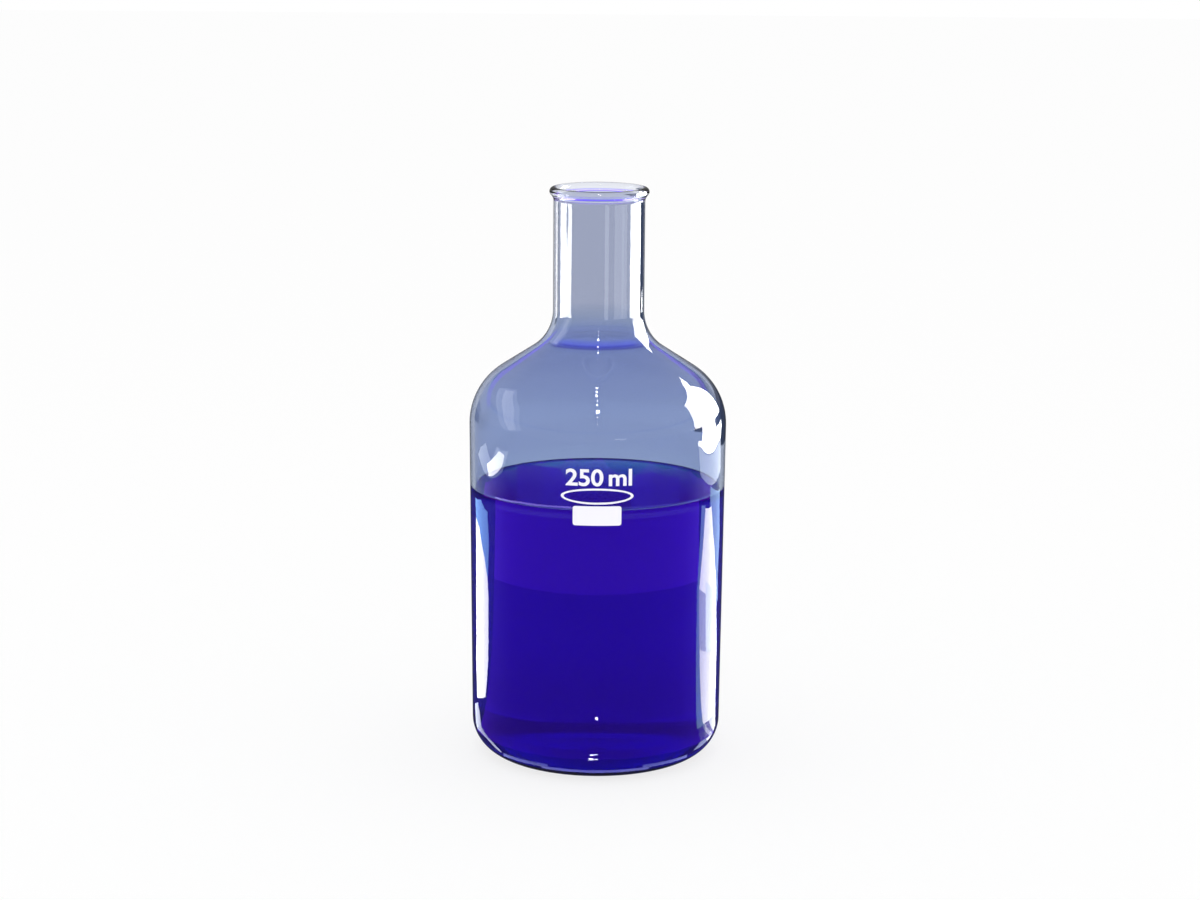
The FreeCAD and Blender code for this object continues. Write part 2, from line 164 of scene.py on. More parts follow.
def glass_section():
    """Underside, outside, rim and inside of the blown wall, from axis to axis."""
    rest_outer = HEEL_CENTRE.x
    rest_inner = rest_outer - REST_WIDTH
    underside_radius = (rest_inner ** 2 + PUSH_UP ** 2) / (2 * PUSH_UP)
    underside_centre = (0, PUSH_UP - underside_radius)
    underside_edge = direction(underside_centre, (rest_inner, 0))
    bead_radius = (RIM_RADIUS - NECK_RADIUS + WALL) / 2
    bead_centre = (RIM_RADIUS - bead_radius, BOTTLE_HEIGHT - bead_radius)
    lip_across = NECK_RADIUS + LIP_RADIUS
    lip_drop = math.sqrt((bead_radius + LIP_RADIUS) ** 2 - (lip_across - bead_centre[0]) ** 2)
    lip_centre = (lip_across, bead_centre[1] - lip_drop)
    return chain(
        arc(underside_centre, underside_radius, math.pi / 2, underside_edge),
        arc(HEEL_CENTRE, HEEL_RADIUS, -math.pi / 2, OUT_OF_SIDE),
        arc(SHOULDER_CENTRE, SHOULDER_RADIUS, OUT_OF_SIDE, OUT_OF_CONE),
        arc(ROOT_CENTRE, ROOT_RADIUS, OUT_OF_CONE + math.pi, math.pi),
        arc(lip_centre, LIP_RADIUS, math.pi, direction(lip_centre, bead_centre)),
        arc(bead_centre, bead_radius, direction(bead_centre, lip_centre), math.pi),
        arc(ROOT_CENTRE, ROOT_RADIUS + WALL, math.pi, OUT_OF_CONE + math.pi),
        arc(SHOULDER_CENTRE, SHOULDER_RADIUS - WALL, OUT_OF_CONE, OUT_OF_SIDE),
        arc(INNER_HEEL_CENTRE, INNER_HEEL_RADIUS, OUT_OF_SIDE, HEEL_TURN),
        arc(FLOOR_CENTRE, FLOOR_RADIUS, FLOOR_EDGE, math.pi / 2),
    )


def liquid_section():
    """Floor, heel, side and meniscus of the solution, from axis to axis."""
    contact_up = LIQUID_LEVEL + MENISCUS_RISE
    contact_across = outer_radius(contact_up) - WALL / math.cos(SIDE_TAPER)
    climb = MENISCUS_RADIUS - MENISCUS_RISE
    meniscus_run = math.sqrt(MENISCUS_RADIUS ** 2 - climb ** 2)
    meniscus_centre = (contact_across - meniscus_run, LIQUID_LEVEL + MENISCUS_RADIUS)
    contact_turn = direction(meniscus_centre, (contact_across, contact_up))
    return chain(
        arc(FLOOR_CENTRE, FLOOR_RADIUS - WETTING, math.pi / 2, FLOOR_EDGE),
        arc(INNER_HEEL_CENTRE, INNER_HEEL_RADIUS + WETTING, HEEL_TURN, OUT_OF_SIDE),
        [Vector((contact_across + WETTING, contact_up))],
        arc(meniscus_centre, MENISCUS_RADIUS, contact_turn, -math.pi / 2),
        [Vector((0, LIQUID_LEVEL))],
    )


# Turning a section about the axis

def turning_tree():
    """Copies the section's points round the Z axis as a grid, and closes seam and poles."""
    tree = bpy.data.node_groups.new("turned_about_axis", "GeometryNodeTree")
    sockets = tree.interface
    sockets.new_socket("Section", in_out="INPUT", socket_type="NodeSocketGeometry")
    sockets.new_socket("Steps around", in_out="INPUT", socket_type="NodeSocketInt")
    sockets.new_socket("Finish", in_out="INPUT", socket_type="NodeSocketMaterial")
    sockets.new_socket("Turned", in_out="OUTPUT", socket_type="NodeSocketGeometry")
    given = add_node(tree, "NodeGroupInput").outputs
    steps = given["Steps around"]
    size = add_node(tree, "GeometryNodeAttributeDomainSize", {"Geometry": given["Section"]})
    count = size.outputs["Point Count"]
    columns = add_node(tree, "ShaderNodeMath", {0: steps, 1: 1.0}, operation="ADD").outputs[0]
    grid = add_node(tree, "GeometryNodeMeshGrid", {"Vertices X": columns, "Vertices Y": count})
    index = add_node(tree, "GeometryNodeInputIndex").outputs[0]
    row = add_node(tree, "ShaderNodeMath", {0: index, 1: count}, operation="MODULO").outputs[0]
    turn = add_node(tree, "ShaderNodeMath", {0: index, 1: count}, operation="DIVIDE").outputs[0]
    column = add_node(tree, "ShaderNodeMath", {0: turn}, operation="FLOOR").outputs[0]
    part = add_node(tree, "ShaderNodeMath", {0: column, 1: steps}, operation="DIVIDE").outputs[0]
    angle = add_node(
        tree, "ShaderNodeMath", {0: part, 1: 2 * math.pi}, operation="MULTIPLY").outputs[0]
    place = add_node(tree, "GeometryNodeInputPosition").outputs[0]
    sampled = add_node(
        tree, "GeometryNodeSampleIndex",
        {"Geometry": given["Section"], "Value": place, "Index": row}, data_type="FLOAT_VECTOR")
    turned = add_node(
        tree, "ShaderNodeVectorRotate",
        {"Vector": sampled.outputs["Value"], "Angle": angle}, rotation_type="Z_AXIS")
    moved = add_node(
        tree, "GeometryNodeSetPosition",
        {"Geometry": grid.outputs["Mesh"], "Position": turned.outputs[0]})
    closed = add_node(
        tree, "GeometryNodeMergeByDistance",
        {"Geometry": moved.outputs[0], "Distance": SEAM_GAP})
    smooth = add_node(tree, "GeometryNodeSetShadeSmooth", {"Geometry": closed.outputs[0]})
    real = add_node(tree, "GeometryNodeRealizeInstances", {"Geometry": smooth.outputs[0]})
    finish = add_node(
        tree, "GeometryNodeSetMaterial",
        {"Geometry": real.outputs[0], "Material": given["Finish"]})
    add_node(tree, "NodeGroupOutput", {"Turned": finish.outputs[0]})
    return tree


def made_plain(piece):
    """Applies a piece's modifiers, by turning what they give into a plain mesh."""
    evaluated = piece.evaluated_get(bpy.context.evaluated_depsgraph_get())
    mesh = bpy.data.meshes.new_from_object(evaluated)
    name, old = piece.name, piece.data
    finished = bpy.data.objects.new(name + "_", mesh)
    bpy.data.objects.remove(piece)
    if isinstance(old, bpy.types.Mesh):
        bpy.data.meshes.remove(old)
    finished.name = name
    mesh.name = name
    bpy.context.scene.collection.objects.link(finished)
    return finished


def turned_piece(name, section, finish, tree):
    """A solid of revolution from a section of points (distance from axis, height)."""
    mesh = bpy.data.meshes.new(name)
    edges = [(place, place + 1) for place in range(len(section) - 1)]
    mesh.from_pydata([(point.x, 0, point.y) for point in section], edges, [])
    piece = bpy.data.objects.new(name, mesh)
    bpy.context.scene.collection.objects.link(piece)
    turning = piece.modifiers.new("turning", "NODES")
    turning.node_group = tree
    values = {"Steps around": STEPS_AROUND, "Finish": finish}
    for item in tree.interface.items_tree:
        if item.in_out == "INPUT" and item.name in values:
            turning[item.identifier] = values[item.name]
    piece.update_tag()
    bpy.context.view_layer.update()
    piece = made_plain(piece)
    face_outwards(piece.data)
    return piece


def face_outwards(mesh):
    """Turns every face of a closed mesh out, judged by the volume that it encloses."""
    mesh.calc_loop_triangles()
    corners = [vertex.co for vertex in mesh.vertices]
    volume = sum(
        corners[a].dot(corners[b].cross(corners[c]))
        for a, b, c in (triangle.vertices for triangle in mesh.loop_triangles))
    if volume < 0:
        mesh.flip_normals()


# Finishes

def new_material(name):
    """A material with an empty node tree."""
    material = bpy.data.materials.new(name)
    material.use_nodes = True
    tree = material.node_tree
    tree.nodes.clear()
    return material, tree


# Tint of the glass by height: its own faint blue-grey cast, with painted light and shade by height
# that stands for light and refraction; deepest on the cone, greyer in the neck, nearly clear at the
# lip
GLASS_TINT_AND_PAINTED_SHADE = (
    (0.0 * MM, "#BECBE3", 1.0),
    (76.0 * MM, "#BECBE3", 1.0),
    (80.0 * MM, "#B9C5E0", 1.0),
    (92.0 * MM, "#B9C5E0", 1.0),
    (100.0 * MM, "#B7C3DF", 1.0),
    (110.0 * MM, "#AAB6D9", 1.0),
    (114.0 * MM, "#AAB6D9", 1.0),
    (121.0 * MM, "#B9C4DB", 1.0),
    (124.0 * MM, "#C9CEDD", 1.0),
    (153.9 * MM, "#C9CEDD", 1.0),
    (155.4 * MM, "#ECEFF7", 1.0),
)

# Painted light in the glass's colour: a blue glow where the wall turns, at the root of the neck
# and at the lip, which stands for light that the wall pipes up from the solution; painted shade
# at the heel, a dark edge
PAINTED_ROOT_GLOW = (
    (114.9 * MM, "#3A36B8", 0.0),
    (115.3 * MM, "#3A36B8", 1.0),
    (115.8 * MM, "#8A94FF", 1.0),
    (116.8 * MM, "#9AA6FF", 0.8),
    (117.4 * MM, "#A4B0FF", 0.2),
    (119.0 * MM, "#98A4FF", 0.0),
)
PAINTED_LIP_GLOW = (
    (154.2 * MM, "#8C9CC8", 0.0),
    (154.7 * MM, "#8C9CC8", 0.9),
    (155.2 * MM, "#8C9CC8", 0.9),
    (155.6 * MM, "#8C9CC8", 0.0),
)
# Painted shade: a dark edge at the heel
PAINTED_HEEL_SHADE = (
    (0.4 * MM, "#161C33", 0.0),
    (0.9 * MM, "#161C33", 1.0),
    (2.4 * MM, "#161C33", 1.0),
    (3.2 * MM, "#161C33", 0.0),
)
# The painted glow of root and lip is full on the front of the neck, and behind it this share is left
PAINTED_GLOW_FRONT = -10.5 * MM
PAINTED_GLOW_END = -8.0 * MM
PAINTED_GLOW_BEHIND = 0.1

# Blown glass waves a little; its waves are drawn out along the axis
WAVE_SPACING = 7.14 * MM
WAVE_SQUEEZE = 0.12
WAVE_DEPTH = 0.1 * MM

# The dimples of orange peel in fired enamel
PEEL_SPACING = 0.4 * MM
PEEL_DEPTH = 0.02 * MM


def tones(tree, value, stops):
    """Colour and strength along a value, between stops (value, colour, strength)."""
    low, high = stops[0][0], stops[-1][0]
    share = add_node(
        tree, "ShaderNodeMapRange",
        {"Value": value, "From Min": low, "From Max": high}).outputs[0]
    ramp = add_node(tree, "ShaderNodeValToRGB", {0: share})
    marks = ramp.color_ramp.elements
    while len(marks) < len(stops):
        marks.new(0.5)
    for mark, (place, tone, strength) in zip(marks, stops):
        mark.position = (place - low) / (high - low)
        mark.color = (*linear(tone)[:3], strength)
    return ramp.outputs


def blown_borosilicate():
    """Clear blown glass: a faint blue-grey cast with painted light and shade by height, a painted
    blue glow at root and lip, a painted dark edge at the heel, and walls that wave a little
    lengthwise.
    """
    material, tree = new_material("blown_borosilicate")
    place = add_node(tree, "ShaderNodeTexCoord").outputs["Object"]
    parts = add_node(tree, "ShaderNodeSeparateXYZ", {0: place}).outputs
    front = add_node(tree, "ShaderNodeMapRange", {
        "Value": parts["Y"], "From Min": PAINTED_GLOW_FRONT, "From Max": PAINTED_GLOW_END,
        "To Min": 1.0, "To Max": PAINTED_GLOW_BEHIND}).outputs[0]
    # The glass's tint by height, with painted light and shade in it
    cast = tones(tree, parts["Z"], GLASS_TINT_AND_PAINTED_SHADE)["Color"]
    # Paints light and shade into the glass's colour: the blue glow at root and lip, stronger on the
    # front, and the dark edge at the heel
    for stops, faced in ((PAINTED_ROOT_GLOW, front), (PAINTED_LIP_GLOW, front), (PAINTED_HEEL_SHADE, 1.0)):
        band = tones(tree, parts["Z"], stops)
        share = add_node(
            tree, "ShaderNodeMath", {0: band["Alpha"], 1: faced}, operation="MULTIPLY").outputs[0]
        cast = add_node(
            tree, "ShaderNodeMix", {"Factor": share, "A": cast, "B": band["Color"]},
            data_type="RGBA").outputs["Result"]
    drawn = add_node(
        tree, "ShaderNodeMapping", {"Vector": place, "Scale": (1, 1, WAVE_SQUEEZE)}).outputs[0]
    waves = add_node(
        tree, "ShaderNodeTexNoise",
        {"Vector": drawn, "Scale": 1 / WAVE_SPACING, "Detail": 1.0})
    bump = add_node(
        tree, "ShaderNodeBump",
        {"Strength": 0.12, "Distance": WAVE_DEPTH, "Height": waves.outputs[0]})
    shader = add_node(tree, "ShaderNodeBsdfPrincipled", {
        "Base Color": cast,
        "Roughness": 0.0,
        "IOR": 1.47,
        "Transmission Weight": 1.0,
        "Normal": bump.outputs[0],
    })
    add_node(tree, "ShaderNodeOutputMaterial", {"Surface": shader.outputs[0]})
    return material


def blue_solution():
    """A clear dyed solution, which the eye sees deepen with the length of the light's way."""
    material, tree = new_material("dyed_aqueous_solution")
    shader = add_node(tree, "ShaderNodeBsdfPrincipled", {
        "Base Color": linear("#592BFA"),
        "Roughness": 0.0,
        "IOR": 1.333,
        "Transmission Weight": 0.75,
    })
    dye = add_node(tree, "ShaderNodeVolumeAbsorption", {
        "Color": linear("#C427EB"),
        "Density": 55.0,
    })
    add_node(
        tree, "ShaderNodeOutputMaterial",
        {"Surface": shader.outputs[0], "Volume": dye.outputs[0]})
    return material


def fired_enamel():
    """White enamel, screened and fired on: opaque, softly glossy, with a fine orange peel."""
    material, tree = new_material("fired_white_enamel")
    place = add_node(tree, "ShaderNodeTexCoord").outputs["Object"]
    peel = add_node(
        tree, "ShaderNodeTexNoise",
        {"Vector": place, "Scale": 1 / PEEL_SPACING, "Detail": 2.0})
    bump = add_node(
        tree, "ShaderNodeBump",
        {"Strength": 0.15, "Distance": PEEL_DEPTH, "Height": peel.outputs[0]})
    shader = add_node(tree, "ShaderNodeBsdfPrincipled", {
        "Base Color": linear("#FBFBFD"),
        "Roughness": 0.38,
        "IOR": 1.52,
        "Normal": bump.outputs[0],
    })
    add_node(tree, "ShaderNodeOutputMaterial", {"Surface": shader.outputs[0]})
    return material


glass_finish = blown_borosilicate()
liquid_finish = blue_solution()
enamel_finish = fired_enamel()

# Pieces

turning = turning_tree()

bottle = turned_piece("blown_bottle", glass_section(), glass_finish, turning)
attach(bottle, BODY)
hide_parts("bottle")

solution = turned_piece("blue_liquid", liquid_section(), liquid_finish, turning)
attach(solution, BODY)
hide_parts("solution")

for print_node in ("writing_panel", "marking_oval"):
    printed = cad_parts[print_node]
    printed.data.materials.clear()
    printed.data.materials.append(enamel_finish)


# Capacity mark: where it stands, and the coat of enamel, which bites into the glass a little
MARK_LOW = 82.3 * MM
MARK_HEIGHT = 4.6 * MM
MARK_WIDTH = 17.4 * MM
MARK_MIDDLE = 0.4 * MM
ENAMEL = 0.12 * MM
ENAMEL_BITE = 0.02 * MM
# How the type is drawn: extra weight and depth in heights of the type, and the word space as a
# share of the plain one
TYPE_WEIGHT = 0.022
TYPE_DEPTH = 0.5
TYPE_WORD_SPACE = 0.6
TYPE_CURVE_STEPS = 8


def capacity_mark():
    """The figures and unit, drawn flat and pushed back on to the front of the glass."""
    curve = bpy.data.curves.new("capacity_mark", "FONT")
    curve.body = "250 ml"
    curve.offset = TYPE_WEIGHT
    curve.space_word = TYPE_WORD_SPACE
    curve.extrude = TYPE_DEPTH
    curve.resolution_u = TYPE_CURVE_STEPS
    flat = bpy.data.objects.new("capacity_mark", curve)
    bpy.context.scene.collection.objects.link(flat)
    bpy.context.view_layer.update()
    piece = made_plain(flat)
    mesh = piece.data
    low = Vector([min(vertex.co[axis] for vertex in mesh.vertices) for axis in range(3)])
    high = Vector([max(vertex.co[axis] for vertex in mesh.vertices) for axis in range(3)])
    for vertex in mesh.vertices:
        share = [(vertex.co[axis] - low[axis]) / (high[axis] - low[axis]) for axis in range(3)]
        across = MARK_MIDDLE + (share[0] - 0.5) * MARK_WIDTH
        up = MARK_LOW + share[1] * MARK_HEIGHT
        out = outer_radius(up) - ENAMEL_BITE + share[2] * (ENAMEL + ENAMEL_BITE)
        vertex.co = (across, -math.sqrt(out ** 2 - across ** 2), up)
    mesh.materials.clear()
    mesh.materials.append(enamel_finish)
    return piece


mark = capacity_mark()
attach(mark, BODY)


# Studio

# What a mirror shows of the table and the walls, and how brightly the room lights things
MIRRORED_TABLE = 0.05
MIRRORED_WALLS = 0.2
LIT_ROOM = 0.97
WHITE = 1.0

# Through the glass the table goes from dark to white over these depths, towards the back, and
# over these distances from the bottle
TABLE_SIZE = 8.0
TABLE_DROP = 0.02 * MM
TABLE_LIT_SHARE = 0.22
WHITE_BEHIND = (-0.03, 0.12)
WHITE_FAR_OFF = (0.37, 0.42)


def seen_level(tree, through, mirrored):
    """White for the camera and what it lights, and given levels through the glass and in it."""
    light_path = add_node(tree, "ShaderNodeLightPath").outputs
    shone = add_node(
        tree, "ShaderNodeMath",
        {0: light_path["Is Transmission Ray"], 1: through}, operation="MULTIPLY").outputs[0]
    bounced = add_node(
        tree, "ShaderNodeMath",
        {0: light_path["Diffuse Depth"], 1: 1.0}, operation="MINIMUM").outputs[0]
    lit = add_node(
        tree, "ShaderNodeMath", {0: bounced, 1: LIT_ROOM}, operation="MULTIPLY").outputs[0]
    level = mirrored
    for part in (light_path["Is Camera Ray"], shone, lit):
        level = add_node(
            tree, "ShaderNodeMath", {0: level, 1: part}, operation="MAXIMUM").outputs[0]
    return level, light_path


def add_floor():
    """A pale table, white where the eye or the glass looks at it, which keeps the shadow."""
    bpy.ops.mesh.primitive_plane_add(size=TABLE_SIZE, location=(0, 0, -TABLE_DROP))
    floor = bpy.context.object
    floor.name = "table"
    material, tree = new_material("pale_table")
    place = add_node(tree, "ShaderNodeTexCoord").outputs["Object"]
    depth = add_node(tree, "ShaderNodeSeparateXYZ", {0: place}).outputs["Y"]
    away = add_node(tree, "ShaderNodeVectorMath", {0: place}, operation="LENGTH").outputs["Value"]
    white_places = [
        add_node(tree, "ShaderNodeMapRange", {
            "Value": value, "From Min": low, "From Max": high,
            "To Min": MIRRORED_TABLE, "To Max": WHITE}).outputs[0]
        for value, (low, high) in ((depth, WHITE_BEHIND), (away, WHITE_FAR_OFF))]
    through = add_node(
        tree, "ShaderNodeMath",
        {0: white_places[0], 1: white_places[1]}, operation="MAXIMUM").outputs[0]
    level, light_path = seen_level(tree, through, MIRRORED_TABLE)
    glow = add_node(tree, "ShaderNodeEmission", {"Color": linear("#FFFFFF"), "Strength": level})
    lit = add_node(tree, "ShaderNodeBsdfDiffuse", {"Color": linear("#FCFCFC")})
    share = add_node(
        tree, "ShaderNodeMath",
        {0: light_path["Is Camera Ray"], 1: TABLE_LIT_SHARE}, operation="MULTIPLY").outputs[0]
    both = add_node(tree, "ShaderNodeMixShader", {0: share, 1: glow.outputs[0], 2: lit.outputs[0]})
    add_node(tree, "ShaderNodeOutputMaterial", {"Surface": both.outputs[0]})
    floor.data.materials.append(material)


# The backdrop by degrees above level, where it shows in the surface of the solution: white, with
# a blue band, brightest at its lower edge
BACKDROP_BRIGHTEST = 1.4
BACKDROP_BY_DEGREES = (
    (11.0, "#FFFFFF", 1.0),
    (11.93, "#D1F7FF", 1.4),
    (12.03, "#89EBFF", 1.2),
    (12.2, "#6CAAFF", 1.0),
    (12.36, "#5589FF", 1.0),
    (12.7, "#4E61FF", 0.67),
    (14.5, "#4E61FF", 0.67),
    (15.5, "#FFFFFF", 1.0),
)
BACKDROP = tuple(
    (math.sin(math.radians(turn)), tone, level / BACKDROP_BRIGHTEST)
    for turn, tone, level in BACKDROP_BY_DEGREES)


def light_world():
    """A white room, with a blue band low on its walls; dim where a mirror shows it."""
    world = bpy.data.worlds.new("studio")
    bpy.context.scene.world = world
    world.use_nodes = True
    tree = world.node_tree
    tree.nodes.clear()
    way = add_node(tree, "ShaderNodeTexCoord").outputs["Generated"]
    parts = add_node(tree, "ShaderNodeSeparateXYZ", {0: way}).outputs
    backdrop = tones(tree, parts["Z"], BACKDROP)
    through = add_node(
        tree, "ShaderNodeMath",
        {0: backdrop["Alpha"], 1: BACKDROP_BRIGHTEST}, operation="MULTIPLY").outputs[0]
    level, light_path = seen_level(tree, through, MIRRORED_WALLS)
    tone = add_node(tree, "ShaderNodeMix", {
        "Factor": light_path["Is Transmission Ray"], "A": linear("#FFFFFF"),
        "B": backdrop["Color"]}, data_type="RGBA").outputs["Result"]
    background = add_node(tree, "ShaderNodeBackground", {"Color": tone, "Strength": level})
    add_node(tree, "ShaderNodeOutputWorld", {"Surface": background.outputs[0]})


def add_card(name, tone, level, corners, faces=None, seen_in="mirrors"):
    """A reflector card, soft box or flag that only shows in the glass: tone times level."""
    mesh = bpy.data.meshes.new(name)
    mesh.from_pydata([Vector(corner) for corner in corners], [], faces or [range(len(corners))])
    card = bpy.data.objects.new(name, mesh)
    bpy.context.scene.collection.objects.link(card)
    material, tree = new_material(name)
    glow = add_node(tree, "ShaderNodeEmission", {"Color": linear(tone), "Strength": level})
    add_node(tree, "ShaderNodeOutputMaterial", {"Surface": glow.outputs[0]})
    mesh.materials.append(material)
    card.visible_camera = False
    card.visible_diffuse = False
    card.visible_shadow = False
    card.visible_glossy = seen_in == "mirrors"
    card.visible_transmission = seen_in == "glass"


def add_lamp(name, place, aim, width, height, radiance):
    """A soft box that faces a point; its radiance is what a mirror would show of it."""
    light = bpy.data.lights.new(name, "AREA")
    light.shape = "RECTANGLE"
    light.size = width
    light.size_y = height
    light.energy = radiance * width * height * math.pi
    lamp = bpy.data.objects.new(name, light)
    bpy.context.scene.collection.objects.link(lamp)
    lamp.location = place
    lamp.rotation_euler = (Vector(aim) - Vector(place)).to_track_quat("-Z", "Y").to_euler()
    lamp.visible_camera = False


add_floor()
light_world()
add_lamp(
    "key", place=(0.0, -0.7, 0.9), aim=(0, 0, 0.08), width=0.06, height=0.10, radiance=60.0)


# Where cards are, in metres: across from the axis, in depth behind it, and in height; those on
# the table lie just over it, or under or over a card that they overlap
ON_TABLE = 1.0 * MM
UNDER = 0.5 * MM
OVER = 1.2 * MM


def square_to_x(across, corners):
    """Corners (depth, height) of an upright card that stands square to the X axis."""
    return [(across, depth, height) for depth, height in corners]


def square_to_y(depth, corners):
    """Corners (across, height) of an upright card that stands square to the Y axis."""
    return [(across, depth, height) for across, height in corners]


def standing(first, last, foot, head):
    """An upright rectangle between two places (across, depth) and two heights."""
    return [(*first, foot), (*last, foot), (*last, head), (*first, head)]


def lying(corners, lift=ON_TABLE):
    """Corners (across, depth) of a card that lies on the table."""
    return [(across, depth, lift) for across, depth in corners]


def rectangle(across, depth, width, length):
    """Corners (across, depth) of a level rectangle, from its middle and its size."""
    left, right = across - width / 2, across + width / 2
    near, far = depth - length / 2, depth + length / 2
    return [(left, near), (right, near), (right, far), (left, far)]


def around(rings, turns):
    """Corners and faces of a curved card between rings (radius, height), at turns in degrees."""
    count = len(turns)
    corners = [
        (radius * math.sin(math.radians(turn)), radius * math.cos(math.radians(turn)), height)
        for radius, height in rings for turn in turns]
    faces = [(step, step + 1, count + step + 1, count + step) for step in range(count - 1)]
    return corners, faces


# Where the upright cards stand across, and how far one stands from a card that it overlaps
FAR_LEFT = -0.70
LEFT = -0.45
RIGHT = 0.45
CARD_GAP = 0.01

# Soft boxes to both sides, of which the neck shows a narrow strip and the shoulder a patch
BOX_LEVEL = 17.0
add_card("box_left", "#FFFFFF", BOX_LEVEL, square_to_x(FAR_LEFT, [
    (-0.20, 0.005), (0.29, 0.005), (0.29, 0.085), (-0.24, 0.085)]))
add_card("box_left_slit", "#FFFFFF", 6.0, standing((LEFT, 0.345), (LEFT, 0.47), 0.02, 0.09))
add_card("box_right", "#FFFFFF", BOX_LEVEL, square_to_x(RIGHT, [
    (0.067, 0), (0.577, 0), (0.577, 0.024), (0.338, 0.026), (0.338, 0.092), (0.577, 0.093),
    (0.521, 0.334), (0.440, 0.480), (0.681, 0.673), (0.441, 0.581), (0.192, 0.418), (0.055, 0.354),
    (0.023, 0.127)]))
add_card("box_right_tip", "#FFFFFF", BOX_LEVEL, standing((RIGHT, -0.045), (RIGHT, 0.06), 0.05, 0.10))
add_card("box_right_foot", "#FFFFFF", BOX_LEVEL, lying([
    (0.445, 0.066), (0.407, 0.118), (0.290, 0.351), (0.45, 0.577)]))
# Dark flags close by hide the boxes beside the neck from the shoulder
SHADE = [(0.15, 0.067), (0.15, 0.0965)]
add_card("shade_left", "#FFFFFF", MIRRORED_TABLE, *around(SHADE, range(-125, -36, 4)))
add_card("shade_right", "#FFFFFF", MIRRORED_TABLE, *around(SHADE, range(84, 173, 4)))

# Reflector cards on the table and beside it, seen in the side of the glass and in the shoulder
add_card("card_left", "#FFFFFF", 8.0, lying([
    (-0.200, 0.215), (-0.222, 0.175), (-0.215, 0.109), (-0.202, 0.076), (-0.181, 0.059),
    (-0.118, 0.030), (-0.078, 0.017), (-0.063, 0.033), (-0.084, 0.069), (-0.128, 0.125)]))
add_card("card_left_blue", "#8CBEF6", 4.4, lying([
    (-0.214, 0.250), (-0.268, 0.193), (-0.290, 0.120), (-0.256, 0.090), (-0.202, 0.074),
    (-0.200, 0.204)], UNDER))
add_card("card_left_far", "#FFFFFF", 12.0, lying([
    (-0.362, 0.158), (-0.395, 0.100), (-0.422, 0.040), (-0.418, -0.010), (-0.398, 0.002),
    (-0.350, 0.130)]))
add_card("card_left_edge", "#E8F0FF", 2.0, lying([
    (-0.311, 0.268), (-0.346, 0.250), (-0.395, 0.190), (-0.385, 0.120), (-0.430, 0.060),
    (-0.425, -0.05), (-0.390, 0.000), (-0.350, 0.130)], UNDER))
add_card("card_streaks", "#EEF3FF", 2.6, square_to_x(LEFT, [
    (0.300, 0.430), (0.220, 0.500), (-0.020, 0.320), (-0.120, 0.130), (-0.060, 0.100),
    (0.060, 0.240)]))
add_card("card_streaks_edge", "#E6EEFF", 1.2, square_to_x(LEFT - CARD_GAP, [
    (0.420, 0.400), (0.240, 0.560), (-0.060, 0.360), (-0.180, 0.130), (-0.020, 0.080),
    (0.120, 0.220)]))
add_card("card_right", "#FFFFFF", 8.5, lying([
    (0.302, 0.110), (0.205, 0.037), (0.143, 0.134), (0.200, 0.155), (0.276, 0.164)]))
add_card("card_right_pale", "#E9F0FF", 4.2, lying([
    (0.205, 0.037), (0.134, 0.020), (0.092, 0.086), (0.143, 0.134)]))
add_card("card_right_middle", "#EAF4FF", 8.0, lying([
    (0.2, 0.075), (0.121, 0.0395), (0.092, 0.086), (0.143, 0.134)], OVER))
add_card("card_right_edge", "#B6DAFF", 3.0, lying([
    (0.221, 0.266), (0.166, 0.214), (0.1435, 0.1575), (0.119, 0.132), (0.143, 0.115),
    (0.200, 0.140), (0.276, 0.150), (0.315, 0.172), (0.277, 0.213)], UNDER))
add_card("card_right_near", "#FFFFFF", 7.0, lying([
    (0.134, 0.020), (0.060, 0.000), (0.056, 0.020), (0.066, 0.045), (0.092, 0.086)]))
add_card("card_right_blue", "#A8CDEB", 3.0, lying([
    (0.320, 0.080), (0.208, 0.026), (0.060, -0.009), (0.060, 0.002), (0.134, 0.022),
    (0.208, 0.042), (0.308, 0.113)], UNDER))
add_card("card_right_far", "#EAF2FF", 3.2, lying([
    (0.445, 0.066), (0.375, 0.079), (0.236, 0.300), (0.290, 0.351), (0.407, 0.118)], UNDER))
add_card("card_front_soft", "#EEF4FF", 2.0, standing((RIGHT, -0.13), (RIGHT, -0.56), 0.02, 0.10))
BRIGHTER_AT = RIGHT - CARD_GAP
add_card("card_front_brighter", "#EEF4FF", 2.8, standing(
    (BRIGHTER_AT, -0.21), (BRIGHTER_AT, -0.27), 0.02, 0.10))
add_card("card_front_streak", "#EEF4FF", 2.6, standing((0.112, -0.45), (0.20, -0.45), 0.03, 0.12))

# Far banners, which show in the turned glass and on both sides of the solution's surface
BANNER_DEPTH = 10.0
add_card("banner_high", "#A884FF", 2.2, standing(
    (-14.0, BANNER_DEPTH), (14.0, BANNER_DEPTH), 2.8, 4.2), seen_in="glass")
add_card("banner_left", "#6062FF", 1.25, square_to_y(BANNER_DEPTH, [
    (-0.60, 2.20), (-0.24, 2.22), (-0.19, 2.28), (-0.17, 2.34), (-0.17, 2.56),
    (-0.60, 2.56)]), seen_in="glass")
add_card("banner_right", "#6062FF", 1.25, square_to_y(BANNER_DEPTH, [
    (0.225, 2.245), (0.34, 2.235), (0.60, 2.26), (0.60, 2.56), (0.195, 2.56),
    (0.195, 2.31)]), seen_in="glass")

# The solution's blue cast on the table in front of the bottle, fainter close by and farther off,
# with a light line between, which marks where the surface of the solution meets the glass
CAST_LIFT = 0.3 * MM
CAST_TURNS = range(80, 281, 10)
CAST_INSIDE = 0.04
CAST_MIDDLE = 0.222
CONTACT_RADIUS = 0.339
CONTACT_WIDTH = 0.003


def flat_ring(inside, outside, lift=CAST_LIFT):
    """The two rings (radius, height) of a curved card that lies on the table."""
    return [(inside, lift), (outside, lift)]


